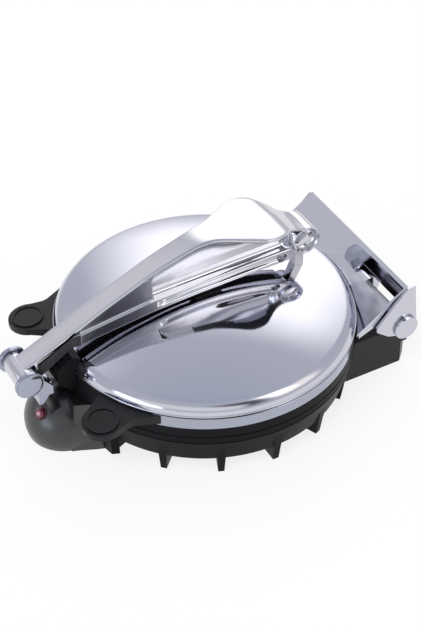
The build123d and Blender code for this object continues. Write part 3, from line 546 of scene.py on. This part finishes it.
def eased(rows, y):
    """Smooth interpolation (Catmull-Rom) in rows of (y, value)."""
    last = len(rows) - 1
    i = max(k for k in range(last) if k == 0 or rows[k][0] <= y)
    (y0, a), (y1, b) = rows[i], rows[i + 1]
    before, after = rows[max(i - 1, 0)], rows[min(i + 2, last)]
    slope_in = (b - before[1]) / (y1 - before[0])
    slope_out = (after[1] - a) / (after[0] - y0)
    span, t = y1 - y0, min(max((y - y0) / (y1 - y0), 0.0), 1.0)
    return (a * (2 * t ** 3 - 3 * t ** 2 + 1) + slope_in * span * (t ** 3 - 2 * t ** 2 + t)
            + b * (3 * t ** 2 - 2 * t ** 3) + slope_out * span * (t ** 3 - t ** 2))


def step(low, high, value):
    """0 below low, 1 above high, smooth between."""
    t = min(max((value - low) / (high - low), 0.0), 1.0)
    return t * t * (3 - 2 * t)


# ---- dome: one spun sheet, its section a shallow crown that runs into a tight bend
dome = bpy.data.node_groups.new("spun_dome", "GeometryNodeTree")
dome_sizes = {
    "Crown radius": 430.0 * MM, "Bend radius": 12.0 * MM, "Rim radius": 124.8 * MM,
    "Edge height": 67.1 * MM, "Bead": 0.75 * MM,
}
for label, size in dome_sizes.items():
    socket = dome.interface.new_socket(label, in_out="INPUT", socket_type="NodeSocketFloat")
    socket.default_value = size
for label, number in (("Rings", 97), ("Segments", 289)):
    socket = dome.interface.new_socket(label, in_out="INPUT", socket_type="NodeSocketInt")
    socket.default_value = number
dome.interface.new_socket("Finish", in_out="INPUT", socket_type="NodeSocketMaterial")
dome.interface.new_socket("Geometry", in_out="OUTPUT", socket_type="NodeSocketGeometry")
given = add(dome, "NodeGroupInput").outputs
grid = add(dome, "GeometryNodeMeshGrid", {
    "Size X": 1.0, "Size Y": 1.0, "Vertices X": given["Rings"], "Vertices Y": given["Segments"],
})
across = add(dome, "ShaderNodeSeparateXYZ", {"Vector": grid.outputs["UV Map"]}).outputs
crown_arm = reckon(dome, "SUBTRACT", given["Crown radius"], given["Bend radius"])
bend_middle = reckon(dome, "SUBTRACT", given["Rim radius"], given["Bend radius"])
meeting = reckon(dome, "ARCSINE", reckon(dome, "DIVIDE", bend_middle, crown_arm))
crown_low = reckon(
    dome, "SUBTRACT", given["Edge height"],
    reckon(dome, "MULTIPLY", crown_arm, reckon(dome, "COSINE", meeting)),
)
crown_share = 0.7  # of the rings lie on the crown, the rest on the bend
on_crown = reckon(dome, "MULTIPLY", reckon(dome, "MINIMUM", reckon(
    dome, "DIVIDE", across["X"], crown_share), 1.0), meeting)
past = reckon(dome, "MAXIMUM", reckon(dome, "DIVIDE", reckon(
    dome, "SUBTRACT", across["X"], crown_share), 1 - crown_share), 0.0)
bend_turn = reckon(dome, "SUBTRACT", pi / 2, meeting)
angle = reckon(dome, "ADD", on_crown, reckon(dome, "MULTIPLY", past, bend_turn))
is_bend = reckon(dome, "GREATER_THAN", across["X"], crown_share + 0.0001)
size = reckon(dome, "ADD", given["Crown radius"], reckon(
    dome, "MULTIPLY", is_bend, reckon(dome, "MULTIPLY", crown_arm, -1.0)))
reach = reckon(dome, "ADD", reckon(dome, "MULTIPLY", size, reckon(dome, "SINE", angle)), reckon(
    dome, "MULTIPLY", is_bend, bend_middle))
base_height = reckon(dome, "ADD", crown_low, reckon(dome, "MULTIPLY", is_bend, reckon(
    dome, "SUBTRACT", given["Edge height"], crown_low)))
height = reckon(dome, "ADD", base_height, reckon(
    dome, "MULTIPLY", size, reckon(dome, "COSINE", angle)))
turn = reckon(dome, "MULTIPLY", across["Y"], 2 * pi)
spot = add(dome, "ShaderNodeCombineXYZ", {
    "X": reckon(dome, "MULTIPLY", reach, reckon(dome, "COSINE", turn)),
    "Y": reckon(dome, "MULTIPLY", reach, reckon(dome, "SINE", turn)),
    "Z": height,
})
spun = add(dome, "GeometryNodeSetPosition", {
    "Geometry": grid.outputs["Mesh"], "Position": spot.outputs["Vector"],
})
closed = add(dome, "GeometryNodeMergeByDistance", {
    "Geometry": spun.outputs["Geometry"], "Distance": 0.000005,
})
bead_path = add(dome, "GeometryNodeCurvePrimitiveCircle", {
    "Resolution": 288, "Radius": reckon(dome, "SUBTRACT", given["Rim radius"], 0.1 * MM),
}, mode="RADIUS")
bead_line = add(dome, "GeometryNodeTransform", {
    "Geometry": bead_path.outputs["Curve"],
    "Translation": add(dome, "ShaderNodeCombineXYZ", {"Z": reckon(
        dome, "ADD", given["Edge height"], 0.35 * MM)}).outputs["Vector"],
})
bead_section = add(dome, "GeometryNodeCurvePrimitiveCircle", {
    "Resolution": 12, "Radius": given["Bead"],
}, mode="RADIUS")
bead = add(dome, "GeometryNodeCurveToMesh", {
    "Curve": bead_line.outputs["Geometry"], "Profile Curve": bead_section.outputs["Curve"],
    "Fill Caps": False,
})
together = add(dome, "GeometryNodeJoinGeometry")
dome.links.new(closed.outputs["Geometry"], together.inputs[0])
dome.links.new(bead.outputs["Mesh"], together.inputs[0])
smooth = add(dome, "GeometryNodeSetShadeSmooth", {"Geometry": together.outputs["Geometry"]})
real = add(dome, "GeometryNodeRealizeInstances", {"Geometry": smooth.outputs["Geometry"]})
dressed = add(dome, "GeometryNodeSetMaterial", {
    "Geometry": real.outputs["Geometry"], "Material": given["Finish"],
})
add(dome, "NodeGroupOutput", {"Geometry": dressed.outputs["Geometry"]})

maker = bpy.data.objects.new("dome_maker", bpy.data.meshes.new("dome_maker"))
bpy.context.scene.collection.objects.link(maker)
spinning = maker.modifiers.new("spun", "NODES")
spinning.node_group = dome
finish_socket = next(s for s in dome.interface.items_tree if s.name == "Finish")
spinning[finish_socket.identifier] = chrome_sheet
dome_mesh = bake(maker)
work = bmesh.new()
work.from_mesh(dome_mesh)
bmesh.ops.recalc_face_normals(work, faces=work.faces)
if sum(face.normal.z for face in work.faces) < 0:
    bmesh.ops.reverse_faces(work, faces=work.faces)
work.to_mesh(dome_mesh)
work.free()
mesh_piece("dome_shell", dome_mesh, "lid", "chrome", "lid_dome")

# ---- pressing arm: one casting, drawn as sections set along the arm
# (y, height) and (y, half width) along the arm
crest = [(-166, 83.4), (-150, 90.5), (-130, 100.0), (-110, 109.5), (-90, 118.8), (-70, 127.4),
         (-50, 136.0), (-30, 142.9), (-10, 148.5), (4, 149.85), (22, 149.6), (42, 148.8),
         (58, 145.8), (68, 141.2), (78, 134.6), (88, 129.9)]
leaf = [(-166, 9.6), (-60, 9.6), (-40, 9.9), (-20, 10.4), (-5, 11.4), (5, 13.6), (15, 18.3),
        (25, 23.7), (33, 28.0), (40, 30.8), (46, 31.7), (52, 31.0), (59, 28.2), (66, 22.6),
        (73, 17.2), (80, 14.6), (88, 14.0)]
underside = [(-170, 70.0), (-158, 66.5), (-122, 88.5), (-55, 96.4), (-10, 99.0), (75, 100.8),
             (84, 106.0), (88, 106.0)]
shelf = [(-170, 77.0), (-158, 77.5), (-122, 100.0), (-55, 108.7), (72, 112.4), (80, 112.5),
         (88, 114.0)]
arm_front, eye_y, eye_z = -166.0, 88.0, 117.0
barrel_y, barrel_z, barrel_half, barrel_radius = -165.0, 74.0, 15.0, 9.5
gap_half = 4.7                             # of the slot that takes the post
coarse_step, fine_step = 1.3, 0.4          # between sections along the arm
wall_half, web_half, rail_half, flange_depth = 9.6, 3.0, 11.4, 3.0
rim_edge, rail_edge, low_edge, fillet = 1.3, 1.2, 1.6, 3.0  # radii of the section's edges
pocket_front, pocket_rear, pocket_corner = -52.0, 73.0, 7.0
groove_front, groove_rear, groove_deep = -49.0, 66.0, 2.0
hole_y, hole_z, hole_radius, hole_deep = 67.0, 105.9, 4.2, 5.5


def pocket_share(y, z, low, high):
    """How far a point of the side lies inside the pocket's rounded outline, 0 to 1."""
    middle_y, middle_z = (pocket_front + pocket_rear) / 2, (low + high) / 2
    dy = abs(y - middle_y) - ((pocket_rear - pocket_front) / 2 - pocket_corner)
    dz = abs(z - middle_z) - max((high - low) / 2 - pocket_corner, 0.5)
    reach = sqrt(max(dy, 0.0) ** 2 + max(dz, 0.0) ** 2) + min(max(dy, dz), 0.0)
    return step(0.0, 3.0, pocket_corner - reach)


def arm_section(y):
    """Right half of the arm's section, from the middle of its top to that of its underside."""
    top, half = eased(crest, y), eased(leaf, y)
    low, ledge = between(underside, y), between(shelf, y)
    half = max(half, wall_half)
    rail = wall_half + (rail_half - wall_half) * step(-126, -116, y)
    sag = 0.035 * half                     # the top is a little crowned
    under = top - flange_depth
    scoop = ledge + 0.38 * (under - ledge)  # where the scoop under the leaf meets the web
    points = []
    for k in range(12):
        x = (half - rim_edge) * k / 11
        points.append((x, top - sag * (x / half) ** 2))
    overhang = min(half - wall_half, 1.0)
    edge = top - sag
    for k in range(1, 6):                  # upper edge of the rim
        a = pi / 2 * k / 6
        points.append((half - rim_edge + rim_edge * sin(a), edge - rim_edge + rim_edge * cos(a)))
    for k in range(5):                     # lower edge of the rim
        a = pi / 2 * k / 4
        points.append((half - overhang + overhang * cos(a), under - sag + overhang * (1 - sin(a))))
    start_x, start_z = half - overhang, under - sag
    for k in range(1, 17):                 # scoop from the rim to the web
        a = pi / 2 * k / 16
        z = scoop + (start_z - scoop) * cos(a)
        plain = start_x + (wall_half - start_x) * sin(a)
        deep = start_x + (web_half - start_x) * sin(a)
        points.append((plain + (deep - plain) * pocket_share(y, z, ledge - 5, start_z), z))
    for k in range(1, 9):                  # web
        z = scoop + (ledge + fillet - scoop) * k / 8
        share = pocket_share(y, z, ledge - 5, start_z)
        points.append((wall_half - (wall_half - web_half) * share, z))
    share = pocket_share(y, ledge + fillet, ledge - 5, start_z)
    web = wall_half - (wall_half - web_half) * share
    bend = min(fillet, max(rail - rail_edge - web, 0.0))
    for k in range(1, 7):                  # fillet, then the shelf on top of the rail
        a = pi / 2 * k / 6
        points.append((web + bend * (1 - cos(a)), ledge + fillet * (1 - sin(a))))
    for k in range(1, 4):
        points.append((web + bend + (rail - rail_edge - web - bend) * k / 3, ledge))
    for k in range(1, 6):                  # rail's upper edge
        a = pi / 2 * k / 5
        points.append((rail - rail_edge + rail_edge * sin(a),
                       ledge - rail_edge + rail_edge * cos(a)))
    # rail's side with its groove and the round hole where the groove ends
    groove = step(groove_front, groove_front + 8, y) * (1 - step(
        groove_rear - 3, groove_rear, y)) * groove_deep
    side_low, side_high = low + low_edge, ledge - rail_edge
    for k in range(1, 23):
        t = k / 22
        z = side_high + (side_low - side_high) * t
        dip = groove * step(0.10, 0.26, t) * (1 - step(0.62, 0.80, t))
        off = sqrt((y - hole_y) ** 2 + (z - hole_z) ** 2)
        hole = hole_deep * (1 - step(hole_radius - 0.7, hole_radius, off))
        points.append((rail - max(dip, hole), z))
    for k in range(1, 6):                  # lower edge
        a = pi / 2 * k / 5
        points.append((rail - low_edge + low_edge * cos(a), low + low_edge - low_edge * sin(a)))
    hollow = 0.45 * (ledge - low)          # the underside is cored out between two lips
    for x, rise in ((5.4, 0.0), (4.8, 0.3), (4.5, 1.2), (4.2, hollow - 0.8), (3.6, hollow),
                    (1.8, hollow), (0.0, hollow)):
        points.append((x, low + rise))
    return points


stations = []
y = arm_front
while y < eye_y:
    stations.append(y)
    at_pocket_end = (-56 < y < -46) or (61 < y < 77)
    y += fine_step if at_pocket_end else coarse_step
stations.append(eye_y)
rows = []
for y in stations:
    half_row = arm_section(y)
    row = [(x, y, z) for x, z in half_row] + [(-x, y, z) for x, z in reversed(half_row[1:-1])]
    rows.append(row)
arm_mesh = shaded(loft(rows), "arm", [chrome_cast, casting_core_and_painted_shade])
# painted shade: dull dark grey on the faces under the lip, on the front sides and at the pocket
# ends; in the core it is the unplated casting
for face in arm_mesh.polygons:             # the dull faces
    along, out, up = face.center.y / MM, abs(face.center.x) / MM, face.center.z / MM
    in_core = out < 4.6 and up < between(shelf, along)
    shade_under_lip = (face.normal.z < -0.25 and eased(leaf, along) > 10.5
                 and up > eased(crest, along) - 7.5 and out > eased(leaf, along) - 9.0)
    shade_on_front_side = (abs(face.normal.x) > 0.6 and -154 < along < -117
                  and up < eased(crest, along) - 2.5)
    shade_at_pocket_end = (abs(face.normal.y) > 0.4 and pocket_front - 1 < along < pocket_front + 9
                  and between(shelf, along) + 1 < up < eased(crest, along) - 4)
    if in_core or shade_under_lip or shade_on_front_side or shade_at_pocket_end:
        face.material_index = 1
gap_low, gap_high = (-gap_half, 74.0, 57.0), (gap_half, 122.0, 120.5)
arm_mesh = cut(loose("arm", arm_mesh), spun_about_x(
    [(-40, 0), (-40, 12.6), (40, 12.6), (40, 0)], eye_y, eye_z))
arm_mesh = cut(loose("arm", arm_mesh), block(gap_low, gap_high))

# eye: a ring each side of the post, its ends sunk into polished cups
cup = [(6.6, 0.0), (6.7, 3.0), (7.0, 6.0), (7.7, 8.2), (8.9, 9.7), (10.6, 10.5), (12.6, 10.9)]
rim = [(13.5, 11.3), (13.85, 11.6), (14.0, 12.0), (13.9, 12.5), (13.6, 12.85), (13.1, 13.0)]
half_profile = cup + rim + [(8.0, 13.0)]
profile = half_profile + [(-x, r) for x, r in reversed(half_profile)]
eye_mesh = shaded(spun_about_x(profile, eye_y, eye_z), "eye", [chrome_cast])
eye_mesh = cut(loose("eye", eye_mesh), spun_about_x(
    [(-gap_half, 0), (-gap_half, 12.2), (gap_half, 12.2), (gap_half, 0)], eye_y, eye_z, 64))
eye_mesh = cut(loose("eye", eye_mesh), block(gap_low, gap_high))

# barrel at the front, between the latch's discs
end = [(barrel_half, 0.0)] + rounded_corner(barrel_half, barrel_radius, 0.8)
barrel_profile = end + [(-x, r) for x, r in reversed(end)]
barrel_mesh = shaded(spun_about_x(barrel_profile, barrel_y, barrel_z), "barrel", [chrome_cast])

whole = gathered("pressing_arm", (arm_mesh, eye_mesh, barrel_mesh), (chrome_cast, casting_core_and_painted_shade))
mesh_piece("pressing_arm", whole, "arm", "chrome", "press_arm", "arm_top", "arm_pin")

# ---- latch: turned caps on the outer faces of its two discs
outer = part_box("latch_clip")[1][0] / MM
cap_half = [(outer, 11.2), (outer + 0.5, 11.0), (outer + 0.9, 10.2), (outer + 1.5, 7.0),
            (outer + 1.8, 3.5), (outer + 1.9, 0.0)]
recess = [(outer + 1.5, 0.0), (outer + 1.5, 5.0), (outer - 0.3, 5.0)]  # for the pin's head
work = spun_about_x(recess + [(outer - 0.3, 11.2)] + cap_half, barrel_y, barrel_z)
near_cap = shaded(work, "near_cap", [chrome_cast])
work = bmesh.new()
work.from_mesh(near_cap)
for v in work.verts:
    v.co.x = -v.co.x
bmesh.ops.recalc_face_normals(work, faces=work.faces)
far_cap = shaded(work, "far_cap", [chrome_cast])
cap_mesh = gathered("latch_caps", (near_cap, far_cap), (chrome_painted_shade,))
mesh_piece("latch_caps", cap_mesh, "latch", "chrome")

# ---- lens: a dished collar round a small dome with a painted highlight glowing at its tip
shank = [(0.0, 0.0), (0.0, 4.2), (3.8, 4.2), (3.8, 5.2), (4.2, 5.55), (4.7, 5.55), (5.0, 5.2),
         (4.8, 4.7), (4.5, 4.3)]
bulb = [(4.5 + 3.0 * sin(radians(a)), 4.0 * cos(radians(a))) for a in range(0, 91, 9)]
lens_mesh = shaded(turned(shank + bulb, lens_seat, lens_axis, 48), "lens", [red_acrylic])
mesh_piece("lens_dome", lens_mesh, "base", "red_lens", "lamp_lens")

# ---- black ring in the gap between the dome's edge and the band: painted shade, the thin dark line where the gap is in shadow
ring = [(66.2 + 0.5 * sin(radians(a)), 124.75 + 0.55 * cos(radians(a)))
        for a in range(0, 361, 45)]
gap_shade_ring = shaded(turned(ring, (0, 0, 0), (0, 0, 1), 288), "gap_shade_ring", [rubber])
mesh_piece("gap_shade_line", gap_shade_ring, "lid", "rubber")

# ---- ridges moulded across the sloping face of the front block
ridge_parts = []
for y, z in ((-139.6, 74.8), (-135.0, 77.9), (-130.4, 81.0), (-140.6, 70.0), (-140.2, 65.0)):
    ridge = [(-15.2, 0.0), (-15.2, 0.7), (-14.6, 1.25), (14.6, 1.25), (15.2, 0.7), (15.2, 0.0)]
    ridge_parts.append(shaded(spun_about_x(ridge, y, z, 24), "ridge", [phenolic]))
mesh_piece("front_ridges", gathered("front_ridges", ridge_parts, (phenolic,)), "lid",
           "black_phenolic")

# ---- gusset between the bulge's skirt and the nearest foot, each side
gusset_plan = [(36.0, -117.0), (41.0, -115.2), (50.0, -113.2), (52.5, -107.0), (40.0, -102.0)]
gussets = []
for side in (1, -1):
    rows = [[(side * x * k, y * k, z) for x, y in gusset_plan]
            for z, k in ((0.4, 1.0), (12.0, 1.005), (26.0, 1.01))]
    gussets.append(shaded(loft(rows), "gusset", [phenolic]))
mesh_piece("skirt_gussets", gathered("skirt_gussets", gussets, (phenolic,)), "base",
           "black_phenolic")

# ---- stop plate on the hood, beside its window
hood_rear, hood_height, hood_slope = 150.0, 87.5, 0.68


def on_hood(x, y, lift):
    """A point over the hood's sloping face."""
    return (x, y, hood_height - hood_slope * (hood_rear - y) + lift)


plate_plan = [(21.8, 131.6), (22.4, 146.4)] + [
    (8.0 - 7.0 * sin(radians(a)), 139.6 + 6.9 * cos(radians(a))) for a in range(0, 181, 15)
]
plate_rows = [[on_hood(x, y, lift) for x, y in plate_plan] for lift in (-0.2, 0.75)]
plate_rows.append([on_hood(14 + (x - 14) * 0.96, 139.5 + (y - 139.5) * 0.96, 1.0)
                   for x, y in plate_plan])
mesh_piece("stop_plate", shaded(loft(plate_rows), "stop_plate", [chrome_painted_shade]), "lid", "chrome")

# =====================================================================  studio

floor_finish, tree, place = new_finish("paper_floor")
paper = add(tree, "ShaderNodeBsdfDiffuse", {"Color": linear("F6F6F6")})
glow = add(tree, "ShaderNodeEmission", {"Color": (1, 1, 1, 1), "Strength": 1.0})
path = add(tree, "ShaderNodeLightPath").outputs
seen = reckon(tree, "MAXIMUM", path["Is Camera Ray"], reckon(
    tree, "MAXIMUM", path["Is Glossy Ray"], path["Is Transmission Ray"]))
glow_share = 0.8  # how far the floor is lifted to white where it is seen or mirrored
close_finish(tree, add(tree, "ShaderNodeMixShader", {
    0: reckon(tree, "MULTIPLY", seen, glow_share), 1: paper.outputs[0], 2: glow.outputs[0],
}))
floor_mesh = bpy.data.meshes.new("floor")
work = bmesh.new()
bmesh.ops.create_grid(work, x_segments=8, y_segments=8, size=6.0)
work.to_mesh(floor_mesh)
work.free()
floor_mesh.materials.append(floor_finish)
floor = bpy.data.objects.new("floor", floor_mesh)
bpy.context.scene.collection.objects.link(floor)

# the world: a pale grey studio for metal to mirror, with soft-edged panels in it
world = bpy.data.worlds.new("studio")
bpy.context.scene.world = world
world.use_nodes = True
tree = world.node_tree
tree.nodes.clear()
toward = add(tree, "ShaderNodeTexCoord").outputs["Generated"]
rise = add(tree, "ShaderNodeSeparateXYZ", {"Vector": toward}).outputs["Z"]
heights = add(tree, "ShaderNodeValToRGB", {"Fac": rise})
heights.color_ramp.elements[0].position = 0.0
heights.color_ramp.elements[0].color = linear("DADBE1")
heights.color_ramp.elements[1].position = 1.0
heights.color_ramp.elements[1].color = linear("C0C8D4")
for position, colour in ((0.35, "D3D5DE"), (0.85, "D3D6DE"), (0.94, "C9CFDA")):
    heights.color_ramp.elements.new(position).color = linear(colour)
shade = heights.outputs["Color"]
# each panel: where it stands (degrees round from +Y towards +X, and up), its half width and
# half height in degrees, how soft its edge is, its colour and its strength
panels = [
    (-54.0, 31.0, 20.0, 20.0, 0.16, "FFFFFF", 1.8),
    (-148.0, 20.0, 6.0, 6.0, 0.08, "F4F8FF", 2.5),
    (164.0, 8.0, 15.0, 11.0, 0.10, "E0EAFF", 5.0),
    (-128.0, 33.0, 14.0, 12.0, 0.15, "CDCED4", 1.0),
    (-108.0, 46.0, 11.0, 12.0, 0.12, "EEEDF4", 1.0),
    (50.0, 34.0, 17.0, 17.0, 0.12, "FBF8F0", 1.4),
    (60.0, 43.0, 9.0, 14.0, 0.10, "FFFEFA", 2.6),
    (91.0, 34.0, 14.0, 18.0, 0.22, "505058", 1.0),
    (128.0, 26.0, 34.0, 14.0, 0.15, "FFFFFF", 1.0),
]
for round_from_y, up, half_wide, half_high, soft, colour, strength in panels:
    a, e = radians(round_from_y), radians(up)
    middle_way = Vector((sin(a) * cos(e), cos(a) * cos(e), sin(e)))
    level_way = Vector((cos(a), -sin(a), 0.0))
    upward_way = middle_way.cross(level_way) * -1
    facing_it = add(tree, "ShaderNodeVectorMath", {0: toward, 1: middle_way},
                    operation="DOT_PRODUCT").outputs["Value"]
    safe = reckon(tree, "MAXIMUM", facing_it, 0.02)
    cover = reckon(tree, "GREATER_THAN", facing_it, 0.02)
    for way, half in ((level_way, half_wide), (upward_way, half_high)):
        off = add(tree, "ShaderNodeVectorMath", {0: toward, 1: way},
                  operation="DOT_PRODUCT").outputs["Value"]
        away = reckon(tree, "ABSOLUTE", reckon(tree, "DIVIDE", off, safe))
        inside = add(tree, "ShaderNodeMapRange", {
            "Value": away, "From Min": tan(radians(half)) - soft,
            "From Max": tan(radians(half)) + soft, "To Min": 1.0, "To Max": 0.0,
        }, interpolation_type="SMOOTHSTEP").outputs["Result"]
        cover = reckon(tree, "MULTIPLY", cover, inside)
    paint = tuple(c * strength for c in linear(colour)[:3]) + (1.0,)
    shade = add(tree, "ShaderNodeMix", {"Factor": cover, 6: shade, 7: paint},
                data_type="RGBA", clamp_factor=True).outputs[2]
room = add(tree, "ShaderNodeBackground", {"Color": shade, "Strength": 1.0})
white = add(tree, "ShaderNodeBackground", {"Color": (1, 1, 1, 1), "Strength": 1.0})
path = add(tree, "ShaderNodeLightPath").outputs
seen = reckon(tree, "MAXIMUM", path["Is Camera Ray"], path["Is Transmission Ray"])
backdrop = add(tree, "ShaderNodeMixShader", {
    0: seen, 1: room.outputs[0], 2: white.outputs[0],
})
add(tree, "ShaderNodeOutputWorld", {"Surface": backdrop.outputs[0]})

# one soft key light from the front right
key = bpy.data.lights.new("key", "SUN")
key.energy = 1.1
key.angle = radians(30)
key_light = bpy.data.objects.new("key", key)
bpy.context.scene.collection.objects.link(key_light)
key_light.visible_glossy = False
key_round, key_up = radians(150), radians(55)
key_from = Vector((sin(key_round) * cos(key_up), cos(key_round) * cos(key_up), sin(key_up)))
key_light.rotation_euler = key_from.to_track_quat("Z", "Y").to_euler()

# =====================================================================  camera

azimuth, elevation, roll = radians(61.18), radians(41.0), radians(-0.24)
eye_point = Vector((884.95, -481.31, 938.62)) * MM
forward = Vector((-sin(azimuth) * cos(elevation), cos(azimuth) * cos(elevation), -sin(elevation)))
level = Vector((cos(azimuth), sin(azimuth), 0.0))
upward = level.cross(forward)
right = level * cos(roll) + upward * sin(roll)
above = upward * cos(roll) - level * sin(roll)
camera = bpy.data.cameras.new("camera")
camera.sensor_fit = "AUTO"
camera.sensor_width = 36.0
focal_pixels, picture_pixels = 1611.0, 631.0
camera.lens = camera.sensor_width * focal_pixels / picture_pixels
camera.clip_start, camera.clip_end = 0.05, 20.0
viewer = bpy.data.objects.new("camera", camera)
bpy.context.scene.collection.objects.link(viewer)
stance = Matrix((right, above, -forward)).transposed().to_4x4()
stance.translation = eye_point
viewer.matrix_world = stance
bpy.context.scene.camera = viewer
bpy.context.scene.view_settings.view_transform = "Standard"
